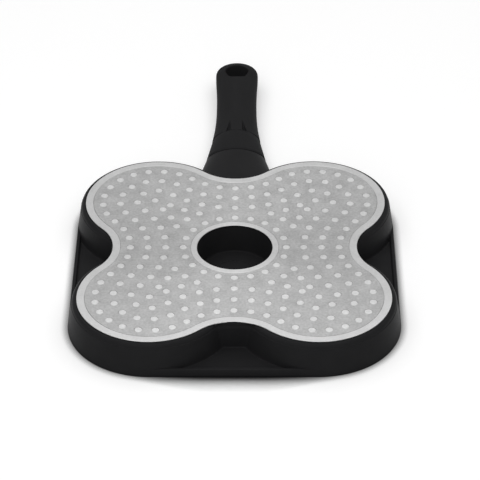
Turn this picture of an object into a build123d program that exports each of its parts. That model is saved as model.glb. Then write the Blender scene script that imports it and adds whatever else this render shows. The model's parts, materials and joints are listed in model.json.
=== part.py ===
"""Four-cup burger pan with a screwed-on handle, standing base up on its rim.

Units are millimetres. The origin is the centre of the rim plane, on which the pan
stands here. +Z points to the base face, and +Y to the handle's tail.
"""

import os
from math import atan2, cos, hypot, pi, radians, sin, tan

from build123d import *

# Cups, open at the rim plane
CUP_MOUTH_RADIUS = 65.0
CUP_GAP = 9.2
CUP_DRAFT = 7.0
CUP_FLOOR_ROUND = 5.0
CUP_MOUTH_ROUND = 1.6

# Casting round the cups
PAN_HEIGHT = 30.0
BASE_THICKNESS = 5.0
RIM_LAND = 5.4
RIM_ROUND = 0.8
WALL_DRAFT = 9.06
WEB_THICKNESS = 3.9

# Lip along the four sides, between the lobes
LIP_HEIGHT = 6.9
LIP_WIDTH = 2.7

# Shoulder between the wall and the machined base face
SHOULDER = 4.65
SHOULDER_STEPS = 3
FACE_STEP = 0.35
COATING_STEP = 0.2

# Notches between the lobes: one wide curve on the base face, a flat with two corners on the wall
NOTCH_FACE_RADIUS = 41.0
NOTCH_FACE_FLAT = 0.3
NOTCH_CORNER = 5.0
NOTCH_SHOULDER = 1.0
NOTCH_DRAFT = 1.1

# Recess in the middle of the base, with a plain casting dial on its floor
RECESS_WALL = 3.1
RECESS_DRAFT = 4.5
DIAL_RADIUS = 9.0
DIAL_LINE = 0.9
DIAL_RAISE = 0.4
DIAL_TICKS = 12
DIAL_TICK_LENGTH = 2.4
DIAL_OFFSET = -11.0

# Steel plate let into the base face, and the studs that fill its holes
PLATE_THICKNESS = 0.6
PLATE_MARGIN = 6.6
PLATE_RING = 5.3
PLATE_GAP = 0.12
STUD_RADIUS = 3.3
STUD_GAP = 0.05
ROW_SPACING = 15.1
ROW_COUNTS = (16, 14, 12)
INNER_ROW_INSET = 59.0
INNER_ROW_START = 18.2
INNER_ROW_STEP = 8.2
INNER_ROW_COUNT = 3
RING_STUD_MARGIN = 6.4
RING_STUD_COUNT = 20
DIAGONAL_STUD_GAP = 14.8
DIAGONAL_STUD_SHIFT = 1.3

# Handle, in common: its gaps to the base face and to the rim plane
HANDLE_FACE_GAP = 5.3
HANDLE_RIM_GAP = 3.0

# Cast lug that carries the handle, and its tongue
LUG_REACH = 21.0
LUG_SINK = 4.0
LUG_END_HALF_WIDTH = 25.6
LUG_FLARE = 10.4
LUG_EDGE = 0.5
TONGUE_WIDTH = 24.0
TONGUE_HEIGHT = 13.0
TONGUE_LENGTH = 20.0
TONGUE_CORNER = 3.0

# Gasket between lug and collar
GASKET_THICKNESS = 1.0
GASKET_INSET = 0.9

# Heat collar
COLLAR_LENGTH = 31.0
COLLAR_REAR_HALF_WIDTH = 20.6
COLLAR_CHAMFER = 1.5
COLLAR_REAR_WALL = 8.0
FIT_CLEARANCE = 0.3

# Grip: half widths at shares of the way to the tail, and how its ends differ
GRIP_LENGTH = 125.0
GRIP_STEP = 0.8
GRIP_WAIST = ((0.25, 18.9), (0.53, 18.3), (0.78, 18.95))
GRIP_TAIL_RADIUS = 19.65
GRIP_TAIL_LIFT = 3.0
SPIGOT_WIDTH = 24.0
SPIGOT_HEIGHT = 11.0
SPIGOT_LENGTH = 3.0

# Grooves beside the grip's ridge
GROOVE_RADIUS = 2.1
GROOVE_END_RADIUS = 0.2
GROOVE_LENGTH = 27.0
GROOVE_FRONT_OFFSET = 7.5
GROOVE_REAR_OFFSET = 5.4

# Hanging hole
HOLE_TAIL_WALL = 9.4
HOLE_LENGTH = 20.2
HOLE_FRONT_HALF_WIDTH = 7.6
HOLE_HALF_WIDTH = 11.3
HOLE_WIDEST = 9.0
HOLE_CORNER = 2.5

# Screw, its washers and the insert in the tongue
SCREW_RADIUS = 3.0
SCREW_LENGTH = 70.0
SCREW_TIP_GAP = 1.0
BORE_CLEARANCE = 0.3
HEAD_RADIUS = 5.0
HEAD_HEIGHT = 3.6
HEAD_ROUND = 0.8
HEAD_CLEARANCE = 0.8
SOCKET_WIDTH = 4.0
SOCKET_DEPTH = 2.2
WASHER_RADIUS = 5.4
WASHER_THICKNESS = 1.0
LOCK_WASHER_THICKNESS = 1.5
LOCK_WASHER_SLIT = 0.8
THREAD_GAP = 0.03
INSERT_RADIUS = 4.6
INSERT_LENGTH = 18.0
INSERT_GROOVE = 0.4
INSERT_GROOVE_WIDTH = 2.0

# How near a face is to a height to count as lying at it
TOUCH = 0.01

# Worked out from the sizes above
HALF_PITCH = CUP_MOUTH_RADIUS + CUP_GAP / 2
CUP_CENTRES = [(x, y) for x in (-HALF_PITCH, HALF_PITCH) for y in (-HALF_PITCH, HALF_PITCH)]
CUP_DEPTH = PAN_HEIGHT - BASE_THICKNESS
RIM_CORNER = CUP_MOUTH_RADIUS + RIM_LAND
RIM_HALF_WIDTH = HALF_PITCH + RIM_CORNER
SLOPE = tan(radians(WALL_DRAFT))
STEP_HEIGHT = PAN_HEIGHT - FACE_STEP
SHOULDER_HEIGHT = STEP_HEIGHT - SHOULDER
FACE_RADIUS = RIM_CORNER - SHOULDER_HEIGHT * SLOPE - SHOULDER
FACE_REACH = (
    HALF_PITCH
    + ((FACE_RADIUS + NOTCH_FACE_RADIUS) ** 2 - (HALF_PITCH - NOTCH_FACE_FLAT) ** 2) ** 0.5
    - NOTCH_FACE_RADIUS
)
RECESS_DEPTH = PAN_HEIGHT - WEB_THICKNESS
RECESS_FOOT_RADIUS = hypot(HALF_PITCH, HALF_PITCH) - CUP_MOUTH_RADIUS - RECESS_WALL
RECESS_RADIUS = RECESS_FOOT_RADIUS + RECESS_DEPTH * tan(radians(RECESS_DRAFT))
PLATE_FLOOR = PAN_HEIGHT - PLATE_THICKNESS
PLATE_HOLE_RADIUS = RECESS_RADIUS + PLATE_RING
RING_STUD_RADIUS = PLATE_HOLE_RADIUS + RING_STUD_MARGIN
HANDLE_TOP = PAN_HEIGHT - HANDLE_FACE_GAP
HANDLE_BOTTOM = HANDLE_RIM_GAP
HANDLE_AXIS_HEIGHT = (HANDLE_TOP + HANDLE_BOTTOM) / 2
LUG_END = RIM_HALF_WIDTH + LUG_REACH
TONGUE_END = LUG_END + TONGUE_LENGTH
COLLAR_FRONT = LUG_END + GASKET_THICKNESS
GRIP_FRONT = COLLAR_FRONT + COLLAR_LENGTH
GRIP_TOP = HANDLE_TOP - GRIP_STEP
GRIP_FRONT_BOTTOM = HANDLE_BOTTOM + GRIP_STEP
GRIP_TAIL_BOTTOM = GRIP_FRONT_BOTTOM + GRIP_TAIL_LIFT
TAIL_END = GRIP_FRONT + GRIP_LENGTH
TAIL_CENTRE = TAIL_END - GRIP_TAIL_RADIUS
HOLE_NEAR = TAIL_END - HOLE_TAIL_WALL - HOLE_LENGTH
SCREW_BORE_RADIUS = SCREW_RADIUS + BORE_CLEARANCE
SCREW_TIP = TONGUE_END - INSERT_LENGTH + SCREW_TIP_GAP
HEAD_SEAT = SCREW_TIP + SCREW_LENGTH
WASHER_SEAT = HEAD_SEAT - LOCK_WASHER_THICKNESS - WASHER_THICKNESS


def notch_points(lobe_radius, notch_radius, reach):
    """Half the notch on +Y: its join with the lobe, the middle of its corner and the corner's end.

    The corner touches the lobe and the notch's flat, which lies at reach from the pan's centre.
    """
    centre = reach + notch_radius
    flat = HALF_PITCH - ((lobe_radius + notch_radius) ** 2 - (centre - HALF_PITCH) ** 2) ** 0.5
    turn = atan2(HALF_PITCH - flat, centre - HALF_PITCH)
    points = []
    for angle in (turn, turn / 2, 0):
        points.append((flat + notch_radius * sin(angle), centre - notch_radius * cos(angle)))
    return points


def clover(height, lobe_radius, notch_radius, reach):
    """Four lobes about the cup centres, joined by hollow notches, at a height."""
    join, middle, end = notch_points(lobe_radius, notch_radius, reach)
    far = HALF_PITCH + lobe_radius * sin(radians(45))
    lobe = ((join[1], join[0]), (far, far), join)
    corners = ((join, middle, end), ((-end[0], end[1]), (-middle[0], middle[1]), (-join[0], join[1])))
    with BuildSketch(Plane.XY.offset(height)) as face:
        with BuildLine():
            for turn in range(4):
                for arc in (lobe, *corners):
                    ThreePointArc(*[Vector(*point).rotate(Axis.Z, 90 * turn) for point in arc])
                flat = (end, (-end[0], end[1]))
                Line(*[Vector(*point).rotate(Axis.Z, 90 * turn) for point in flat])
        make_face()
    return face.sketch


def wall_shape(height):
    """Lobe radius, notch radius and reach of the drafted wall at a height."""
    reach = FACE_REACH + NOTCH_SHOULDER + (SHOULDER_HEIGHT - height) * tan(radians(NOTCH_DRAFT))
    return RIM_CORNER - height * SLOPE, NOTCH_CORNER, reach


def shoulder_section(step):
    """Outline of the quarter-round shoulder, from its foot at step 0."""
    turn = radians(90 * step / SHOULDER_STEPS)
    height = SHOULDER_HEIGHT + SHOULDER * sin(turn)
    lobe_radius = FACE_RADIUS + max(SHOULDER * cos(turn), COATING_STEP)
    notch_radius = NOTCH_FACE_RADIUS + (NOTCH_CORNER - NOTCH_FACE_RADIUS) * cos(turn)
    reach = FACE_REACH + max(NOTCH_SHOULDER * cos(turn), COATING_STEP)
    return clover(height, lobe_radius, notch_radius, reach)


def face_outline(height, inset=0.0):
    """Outline of the machined base face at a height, or of what lies inside it by an inset."""
    return clover(height, FACE_RADIUS - inset, NOTCH_FACE_RADIUS + inset, FACE_REACH - inset)


def rim_section(height):
    """Rounded square of the drafted rim at a height."""
    width = 2 * (RIM_HALF_WIDTH - height * SLOPE)
    with BuildSketch(Plane.XY.offset(height)) as face:
        RectangleRounded(width, width, RIM_CORNER - height * SLOPE)
    return face.sketch


def pocket_section(height):
    """Open space between the lip and the lobes on the -Y side, at a height."""
    lobe_radius, notch_radius, reach = wall_shape(height)
    join, middle, end = notch_points(lobe_radius, notch_radius, reach)
    lip = RIM_HALF_WIDTH - LIP_WIDTH - (2 * LIP_HEIGHT - height) * SLOPE
    aside = HALF_PITCH - (lobe_radius**2 - (lip - HALF_PITCH) ** 2) ** 0.5
    lip_angle = atan2(lip - HALF_PITCH, aside - HALF_PITCH)
    join_angle = atan2(join[1] - HALF_PITCH, join[0] - HALF_PITCH)
    halfway = (lip_angle + join_angle) / 2
    lobe_middle = (HALF_PITCH + lobe_radius * cos(halfway), HALF_PITCH + lobe_radius * sin(halfway))
    with BuildSketch(Plane.XY.offset(height)) as face:
        with BuildLine():
            Line((-aside, -lip), (aside, -lip))
            Line((end[0], -end[1]), (-end[0], -end[1]))
            for side in (-1, 1):
                for arc in (((aside, lip), lobe_middle, join), (join, middle, end)):
                    ThreePointArc(*[(side * x, -y) for x, y in arc])
        make_face()
    return face.sketch


def across_handle(distance, height=HANDLE_AXIS_HEIGHT):
    """Plane that faces +Y at a distance from the pan's centre, on the screw's axis or at a height."""
    return Plane(origin=(0, distance, height), x_dir=(1, 0, 0), z_dir=(0, 1, 0))


def handle_section(distance, half_width, bottom=HANDLE_BOTTOM, top=HANDLE_TOP):
    """Oval section of the handle at a distance from the pan's centre."""
    with BuildSketch(across_handle(distance, (bottom + top) / 2)) as face:
        Ellipse(half_width, (top - bottom) / 2)
    return face.sketch


def crown_height(aside, half_width):
    """Height of the grip's top at a distance aside of its middle."""
    thickness = GRIP_TOP - GRIP_FRONT_BOTTOM
    return GRIP_TOP - thickness / 2 * (1 - (1 - (aside / half_width) ** 2) ** 0.5)


def tongue_section(distance, clearance=0.0):
    """Section of the lug's tongue, or of the room for it."""
    width, height = TONGUE_WIDTH + 2 * clearance, TONGUE_HEIGHT + 2 * clearance
    with BuildSketch(across_handle(distance)) as face:
        RectangleRounded(width, height, TONGUE_CORNER + clearance)
    return face.sketch


def spigot_section(distance, clearance=0.0):
    """Section of the grip's spigot, or of the room for it."""
    width, height = SPIGOT_WIDTH + 2 * clearance, SPIGOT_HEIGHT + 2 * clearance
    with BuildSketch(across_handle(distance)) as face:
        RectangleRounded(width, height, TONGUE_CORNER + clearance)
    return face.sketch


def disc(distance, radius, bore=None):
    """Round section on the screw's axis, with a bore if it has one."""
    with BuildSketch(across_handle(distance)) as face:
        Circle(radius)
        if bore:
            Circle(bore, mode=Mode.SUBTRACT)
    return face.sketch


def grip_section(share, half_width):
    """Section of the grip at a share of the way from the collar to the tail's centre."""
    bottom = GRIP_FRONT_BOTTOM + (GRIP_TAIL_BOTTOM - GRIP_FRONT_BOTTOM) * share
    return handle_section(GRIP_FRONT + (TAIL_CENTRE - GRIP_FRONT) * share, half_width, bottom, GRIP_TOP)


def row_studs(inset, count):
    """Evenly spaced points of one quarter of a row that follows the face's edge at an inset."""
    lobe = FACE_RADIUS - inset
    notch = NOTCH_FACE_RADIUS + inset
    notch_centre = FACE_REACH + NOTCH_FACE_RADIUS
    turn = atan2(HALF_PITCH, notch_centre - HALF_PITCH)
    notch_run = notch * turn
    total = 2 * notch_run + lobe * (pi / 2 + 2 * turn)
    points = []
    for number in range(count):
        run = total * number / count
        if run < notch_run:
            angle = run / notch
            points.append((notch * sin(angle), notch_centre - notch * cos(angle)))
        elif run < total - notch_run:
            angle = pi / 2 + turn - (run - notch_run) / lobe
            points.append((HALF_PITCH + lobe * cos(angle), HALF_PITCH + lobe * sin(angle)))
        else:
            angle = (total - run) / notch
            points.append((notch_centre - notch * cos(angle), notch * sin(angle)))
    return points


def inner_studs():
    """Points of one quarter inside the rows: a short arc beside each notch, and two on the diagonal."""
    radius = NOTCH_FACE_RADIUS + INNER_ROW_INSET
    centre = FACE_REACH + NOTCH_FACE_RADIUS
    points = []
    for number in range(INNER_ROW_COUNT):
        angle = radians(INNER_ROW_START + number * INNER_ROW_STEP)
        x, y = radius * sin(angle), centre - radius * cos(angle)
        points += [(x, y), (y, x)]
    inner = (RING_STUD_RADIUS + DIAGONAL_STUD_GAP) * sin(radians(45))
    outer = HALF_PITCH + DIAGONAL_STUD_SHIFT * sin(radians(45))
    return points + [(inner, inner), (outer, outer)]


def stud_points():
    """Every stud on the base face: the rows, the inner studs and the ring round the recess."""
    quarter = inner_studs()
    for number, count in enumerate(ROW_COUNTS, start=1):
        quarter += row_studs(number * ROW_SPACING, count)
    points = []
    for turn in range(4):
        spun = [Vector(x, y).rotate(Axis.Z, 90 * turn) for x, y in quarter]
        points += [(point.X, point.Y) for point in spun]
    for number in range(RING_STUD_COUNT):
        angle = 2 * pi * number / RING_STUD_COUNT
        points.append((RING_STUD_RADIUS * cos(angle), RING_STUD_RADIUS * sin(angle)))
    return points


def plate_section(height, gap=0.0, stud_gap=0.0):
    """The base face's steel area at a height, with holes for the recess and the studs."""
    with BuildSketch(Plane.XY.offset(height)) as face:
        add(face_outline(0, PLATE_MARGIN + gap))
        Circle(PLATE_HOLE_RADIUS + gap, mode=Mode.SUBTRACT)
        with Locations(*stud_points()):
            Circle(STUD_RADIUS + stud_gap, mode=Mode.SUBTRACT)
    return face.sketch


# Pocket between two lobes, cut four times from the casting
with BuildPart() as pocket:
    loft([pocket_section(WEB_THICKNESS), pocket_section(LIP_HEIGHT)], ruled=True)

# Cast body
with BuildPart() as pan_body:
    loft([rim_section(0), rim_section(LIP_HEIGHT)], ruled=True)
    with PolarLocations(0, 4):
        add(pocket.part, mode=Mode.SUBTRACT)
    walls = [clover(height, *wall_shape(height)) for height in (LIP_HEIGHT, SHOULDER_HEIGHT)]
    loft(walls, ruled=True)
    loft([shoulder_section(step) for step in range(SHOULDER_STEPS + 1)])
    extrude(face_outline(STEP_HEIGHT), FACE_STEP)
    # Lug for the handle, and its tongue with the hole for the insert
    lug_root = wall_shape(HANDLE_TOP)[2] - LUG_SINK
    lug_root_half_width = LUG_END_HALF_WIDTH + (LUG_END - lug_root) * tan(radians(LUG_FLARE))
    loft([handle_section(lug_root, lug_root_half_width), handle_section(LUG_END, LUG_END_HALF_WIDTH)])
    chamfer(pan_body.faces().sort_by(Axis.Y)[-1].edges(), LUG_EDGE)
    extrude(tongue_section(LUG_END), TONGUE_LENGTH)
    extrude(disc(TONGUE_END, INSERT_RADIUS), -INSERT_LENGTH, mode=Mode.SUBTRACT)
    # Cups
    with BuildSketch(Plane.XY):
        with Locations(*CUP_CENTRES):
            Circle(CUP_MOUTH_RADIUS)
    extrude(amount=CUP_DEPTH, taper=CUP_DRAFT, mode=Mode.SUBTRACT)
    flat_faces = pan_body.faces().filter_by(GeomType.PLANE)
    cup_floors = flat_faces.filter_by_position(Axis.Z, CUP_DEPTH - TOUCH, CUP_DEPTH + TOUCH)
    fillet(cup_floors.edges(), CUP_FLOOR_ROUND)
    rim_face = pan_body.faces().sort_by(Axis.Z)[0]
    fillet(rim_face.inner_wires().edges(), CUP_MOUTH_ROUND)
    rim_face = pan_body.faces().sort_by(Axis.Z)[0]
    fillet(rim_face.outer_wire().edges(), RIM_ROUND)
    # Recess and the dial on its floor
    with BuildSketch(Plane.XY.offset(PAN_HEIGHT)):
        Circle(RECESS_RADIUS)
    extrude(amount=-RECESS_DEPTH, taper=RECESS_DRAFT, mode=Mode.SUBTRACT)
    with BuildSketch(Plane.XY.offset(WEB_THICKNESS)):
        with Locations((0, DIAL_OFFSET)):
            Circle(DIAL_RADIUS)
            Circle(DIAL_RADIUS - DIAL_LINE, mode=Mode.SUBTRACT)
            with PolarLocations(DIAL_RADIUS - DIAL_TICK_LENGTH / 2, DIAL_TICKS):
                Rectangle(DIAL_TICK_LENGTH, DIAL_LINE)
    extrude(amount=DIAL_RAISE)
    # Seat of the steel plate, round the studs
    extrude(plate_section(PAN_HEIGHT), -PLATE_THICKNESS, mode=Mode.SUBTRACT)
pan_body.part.label = "pan_body"

# Steel plate with its pattern of holes
with BuildPart() as induction_plate:
    extrude(plate_section(PLATE_FLOOR, PLATE_GAP, STUD_GAP), PLATE_THICKNESS)
induction_plate.part.label = "induction_plate"

# Insert with the screw's thread, grooved so that it stays in the tongue
with BuildPart() as threaded_insert:
    extrude(disc(TONGUE_END, INSERT_RADIUS, SCREW_RADIUS + THREAD_GAP), -INSERT_LENGTH)
    groove_front = TONGUE_END - (INSERT_LENGTH + INSERT_GROOVE_WIDTH) / 2
    groove = disc(groove_front, INSERT_RADIUS, INSERT_RADIUS - INSERT_GROOVE)
    extrude(groove, INSERT_GROOVE_WIDTH, mode=Mode.SUBTRACT)
threaded_insert.part.label = "threaded_insert"

# Gasket between lug and collar, set in from their edge
with BuildPart() as heat_gasket:
    bottom, top = HANDLE_BOTTOM + GASKET_INSET, HANDLE_TOP - GASKET_INSET
    extrude(handle_section(LUG_END, LUG_END_HALF_WIDTH - GASKET_INSET, bottom, top), GASKET_THICKNESS)
    extrude(tongue_section(LUG_END, FIT_CLEARANCE), GASKET_THICKNESS, mode=Mode.SUBTRACT)
heat_gasket.part.label = "heat_gasket"

# Heat collar, hollow in front for the tongue and behind for the grip's spigot
with BuildPart() as heat_collar:
    front = handle_section(COLLAR_FRONT, LUG_END_HALF_WIDTH)
    loft([front, handle_section(GRIP_FRONT, COLLAR_REAR_HALF_WIDTH)])
    chamfer(heat_collar.faces().sort_by(Axis.Y)[0].edges(), LUG_EDGE)
    chamfer(heat_collar.faces().sort_by(Axis.Y)[-1].edges(), COLLAR_CHAMFER)
    room = COLLAR_LENGTH - COLLAR_REAR_WALL
    extrude(tongue_section(COLLAR_FRONT, FIT_CLEARANCE), room, mode=Mode.SUBTRACT)
    room = SPIGOT_LENGTH + FIT_CLEARANCE
    extrude(spigot_section(GRIP_FRONT, FIT_CLEARANCE), -room, mode=Mode.SUBTRACT)
    extrude(disc(GRIP_FRONT, SCREW_BORE_RADIUS), -COLLAR_LENGTH, mode=Mode.SUBTRACT)
heat_collar.part.label = "heat_collar"

# Grip
with BuildPart() as handle_grip:
    stations = ((0.0, COLLAR_REAR_HALF_WIDTH - GRIP_STEP), *GRIP_WAIST, (1.0, GRIP_TAIL_RADIUS))
    loft([grip_section(share, half_width) for share, half_width in stations])
    # Round tail: half of the last section, turned about an upright axis
    with BuildSketch(across_handle(TAIL_CENTRE, (GRIP_TAIL_BOTTOM + GRIP_TOP) / 2)):
        thickness = GRIP_TOP - GRIP_TAIL_BOTTOM
        Ellipse(GRIP_TAIL_RADIUS, thickness / 2)
        with Locations((-GRIP_TAIL_RADIUS, 0)):
            Rectangle(2 * GRIP_TAIL_RADIUS, thickness, mode=Mode.SUBTRACT)
    revolve(axis=Axis((0, TAIL_CENTRE, 0), (0, 0, 1)), revolution_arc=180)
    extrude(spigot_section(GRIP_FRONT), -SPIGOT_LENGTH)
    # Hanging hole, straight in front and round behind
    with BuildSketch(Plane.XY) as hanging_hole:
        with BuildLine():
            near_left = (-HOLE_FRONT_HALF_WIDTH, HOLE_NEAR)
            near_right = (HOLE_FRONT_HALF_WIDTH, HOLE_NEAR)
            wide_left = (-HOLE_HALF_WIDTH, HOLE_NEAR + HOLE_WIDEST)
            wide_right = (HOLE_HALF_WIDTH, HOLE_NEAR + HOLE_WIDEST)
            Polyline(wide_left, near_left, near_right, wide_right)
            ThreePointArc(wide_right, (0, HOLE_NEAR + HOLE_LENGTH), wide_left)
        make_face()
        fillet(hanging_hole.vertices(), HOLE_CORNER)
    extrude(amount=PAN_HEIGHT, mode=Mode.SUBTRACT)
    # Screw bore, entered from the hanging hole
    head_bore = disc(WASHER_SEAT, HEAD_RADIUS + HEAD_CLEARANCE)
    extrude(head_bore, HOLE_NEAR + HOLE_WIDEST - WASHER_SEAT, mode=Mode.SUBTRACT)
    spigot_end = GRIP_FRONT - SPIGOT_LENGTH
    extrude(disc(spigot_end, SCREW_BORE_RADIUS), WASHER_SEAT - spigot_end, mode=Mode.SUBTRACT)
    # Grooves that fade beside the ridge
    for side in (-1, 1):
        front_height = crown_height(GROOVE_FRONT_OFFSET, COLLAR_REAR_HALF_WIDTH - GRIP_STEP)
        rear_height = crown_height(GROOVE_REAR_OFFSET, GRIP_WAIST[0][1])
        start = Vector(side * GROOVE_FRONT_OFFSET, GRIP_FRONT, front_height)
        end = Vector(side * GROOVE_REAR_OFFSET, GRIP_FRONT + GROOVE_LENGTH, rear_height)
        with BuildSketch(Plane(origin=start, z_dir=end - start)) as wide_end:
            Circle(GROOVE_RADIUS)
        with BuildSketch(Plane(origin=end, z_dir=end - start)) as thin_end:
            Circle(GROOVE_END_RADIUS)
        loft([wide_end.sketch, thin_end.sketch], mode=Mode.SUBTRACT)
handle_grip.part.label = "handle_grip"

# Screw with a socket head
with BuildPart() as handle_screw:
    extrude(disc(SCREW_TIP, SCREW_RADIUS), SCREW_LENGTH)
    extrude(disc(HEAD_SEAT, HEAD_RADIUS), HEAD_HEIGHT)
    fillet(handle_screw.faces().sort_by(Axis.Y)[-1].edges(), HEAD_ROUND)
    with BuildSketch(across_handle(HEAD_SEAT + HEAD_HEIGHT)):
        RegularPolygon(SOCKET_WIDTH / 2, 6, major_radius=False)
    extrude(amount=-SOCKET_DEPTH, mode=Mode.SUBTRACT)
handle_screw.part.label = "handle_screw"

# Washers under the head
with BuildPart() as flat_washer:
    extrude(disc(WASHER_SEAT, WASHER_RADIUS, SCREW_BORE_RADIUS), WASHER_THICKNESS)
flat_washer.part.label = "flat_washer"

with BuildPart() as lock_washer:
    with BuildSketch(across_handle(WASHER_SEAT + WASHER_THICKNESS)):
        Circle(HEAD_RADIUS)
        Circle(SCREW_BORE_RADIUS, mode=Mode.SUBTRACT)
        with Locations((HEAD_RADIUS / 2, 0)):
            Rectangle(HEAD_RADIUS, LOCK_WASHER_SLIT, mode=Mode.SUBTRACT)
    extrude(amount=LOCK_WASHER_THICKNESS)
lock_washer.part.label = "lock_washer"

os.makedirs("parts", exist_ok=True)
for piece in (
    pan_body,
    induction_plate,
    threaded_insert,
    heat_gasket,
    heat_collar,
    handle_grip,
    handle_screw,
    flat_washer,
    lock_washer,
):
    export_step(piece.part, f"parts/{piece.part.label}.step")
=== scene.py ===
"""Four-cup burger pan, seen base up as it stands to dry, with its handle away from the camera.

Every size below is in millimetres and turns into metres when a mesh is made. The origin is the middle
of the rim plane, +Z points to the base face, and +Y runs along the handle to its tail.
"""

import json
from math import cos, pi, radians, sin, sqrt, tan

import bmesh
import bpy
import numpy as np
from mathutils import Matrix, Vector

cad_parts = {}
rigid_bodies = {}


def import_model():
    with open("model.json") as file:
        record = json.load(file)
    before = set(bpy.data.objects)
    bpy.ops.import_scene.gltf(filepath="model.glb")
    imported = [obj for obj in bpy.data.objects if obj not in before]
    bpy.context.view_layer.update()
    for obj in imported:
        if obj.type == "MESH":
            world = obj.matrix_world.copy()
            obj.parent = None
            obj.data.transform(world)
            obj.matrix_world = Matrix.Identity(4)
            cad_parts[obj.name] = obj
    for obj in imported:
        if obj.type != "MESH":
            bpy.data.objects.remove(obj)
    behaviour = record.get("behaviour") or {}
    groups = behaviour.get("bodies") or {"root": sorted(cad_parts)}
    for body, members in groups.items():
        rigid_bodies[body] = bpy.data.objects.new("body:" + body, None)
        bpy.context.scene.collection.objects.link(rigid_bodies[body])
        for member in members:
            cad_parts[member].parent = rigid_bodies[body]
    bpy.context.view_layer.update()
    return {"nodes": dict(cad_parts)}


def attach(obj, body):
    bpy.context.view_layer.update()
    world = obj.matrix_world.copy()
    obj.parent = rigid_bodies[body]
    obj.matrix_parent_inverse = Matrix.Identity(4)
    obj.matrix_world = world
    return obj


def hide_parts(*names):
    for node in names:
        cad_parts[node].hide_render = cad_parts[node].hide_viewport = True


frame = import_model()

MM = 0.001
SEAM = 0.000002  # metres: points nearer than this are one point of a surface

# Pan
HALF_PITCH = 69.6
CUP_MOUTH_RADIUS = 65.0
CUP_DEPTH = 25.0
CUP_SLOPE = tan(radians(7.0))
CUP_MOUTH_ROUND = 1.6
CUP_FLOOR_ROUND = 5.0
PAN_HEIGHT = 30.0
RIM_HALF_WIDTH = 140.0
RIM_CORNER = 70.4
RIM_ROUND = 0.8
SLOPE = tan(radians(9.06))
WEB_HEIGHT = 3.9
LIP_HEIGHT = 6.9
LIP_WIDTH = 2.7
SHOULDER = 4.65
SHOULDER_HEIGHT = 25.0
BEAD = 0.45
BAND_GROOVE = 28.9
SHOULDER_FOOT_ROUND = 0.15
WALL_FOOT_ROUND = 1.3
LIP_FOOT_ROUND = 0.9
LIP_INNER_ROUND = 0.6
LIP_OUTER_ROUND = 0.5
FACE_RADIUS = RIM_CORNER - SHOULDER_HEIGHT * SLOPE - SHOULDER
NOTCH_FACE_RADIUS = 41.0
NOTCH_FACE_FLAT = 0.3
NOTCH_CORNER = 5.0
NOTCH_SHOULDER = 1.0
NOTCH_BULGE = 0.8
NOTCH_SLOPE = tan(radians(1.1))
NOTCH_MIDDLE = HALF_PITCH + sqrt((FACE_RADIUS + NOTCH_FACE_RADIUS) ** 2 - (HALF_PITCH - NOTCH_FACE_FLAT) ** 2)
FACE_REACH = NOTCH_MIDDLE - NOTCH_FACE_RADIUS

# Base
PLATE_FLOOR = 29.4
PLATE_FLOOR_INSET = 0.5
PLATE_MARGIN = 6.6
PLATE_RING = 5.3
RECESS_SLOPE = tan(radians(4.5))
RECESS_FOOT = 30.33
RECESS_FOOT_ROUND = 1.4
RECESS_FLOOR_RING = 20.0  # a ring of points on the flat recess floor
RECESS_MOUTH = RECESS_FOOT + (PAN_HEIGHT - WEB_HEIGHT) * RECESS_SLOPE
STUD_RADIUS = 3.3
STUD_EDGE = 0.25
STUD_FOOT = 0.7
BAND_THICKNESS = 0.8
BAND_EDGE = 0.18
RING_STUDS = 20
RING_STUD_INSET = 6.4
ROW_SPACING = 15.1
ROW_COUNTS = (16, 14, 12)
ARC_STUD_ANGLES = (18.2, 26.4, 34.6)  # degrees, about the notch's middle
ARC_STUD_INSET = 59.0
DIAGONAL_STUD_INSET = 14.8  # from the ring of studs
DIAGONAL_STUD_OUT = 1.3  # from the lobe's middle
DIAL_RADIUS = 17.0
DIAL_TICKS = 12
DIAL_LINE = 0.9
DIAL_RAISE = 0.4
DIAL_SINK = 0.1
TICK_HALF_LENGTH = 1.2
TICK_EDGE = 0.1

# Handle
AXIS_HEIGHT = 13.85
HANDLE_TOP = 24.7
HANDLE_BOTTOM = 3.0
WIDEST_HEIGHT = 9.6
DOME_POWER = 1.85
UNDER_POWER = 2.4
AIM_HALF_WIDTH = 24.0
LUG_END = 161.0
LUG_HALF_WIDTH = 27.3
LUG_FLARE = tan(radians(13.5))
LUG_EDGE = 0.5
LUG_SINK = 1.6
TONGUE_END = 181.0
COLLAR_FRONT = 162.0
GRIP_FRONT = 193.0
COLLAR_REAR_HALF_WIDTH = 22.1
COLLAR_CHAMFER = 0.2
COLLAR_TOP_CHAMFER = 0.15
TOP_CHAMFER_HALF_WIDTH, TOP_CHAMFER_FADE = 6.0, 4.0
COLLAR_EDGE_ROUNDS = (0.8, 0.5)
GASKET_INSET = 0.9
TAIL_CENTRE = 297.9
TAIL_RADIUS = 20.1
GRIP_TOP = 23.9
GRIP_FRONT_BOTTOM = 3.8
GRIP_TAIL_BOTTOM = 6.8
GRIP_FRONT_ROUND = 1.1
GRIP_WIDEST_HEIGHT, GRIP_WIDEST_RISE = 10.0, 5.0
GRIP_TOP_POWER, GRIP_TOP_POWER_RISE = 2.0, 1.8
GRIP_UNDER_POWER, GRIP_UNDER_POWER_RISE = 2.4, 0.8
GROOVE_LENGTH = 19.0
GROOVE_RADIUS, GROOVE_END_RADIUS = 2.2, 0.1
GROOVE_DEPTH = 1.6  # times as deep as a round one
GROOVE_ASIDE, GROOVE_DRAWN_IN = 7.5, 2.1
RIDGE_RISE, RIDGE_SLOPE_WIDTH = 0.8, 2.0

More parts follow.
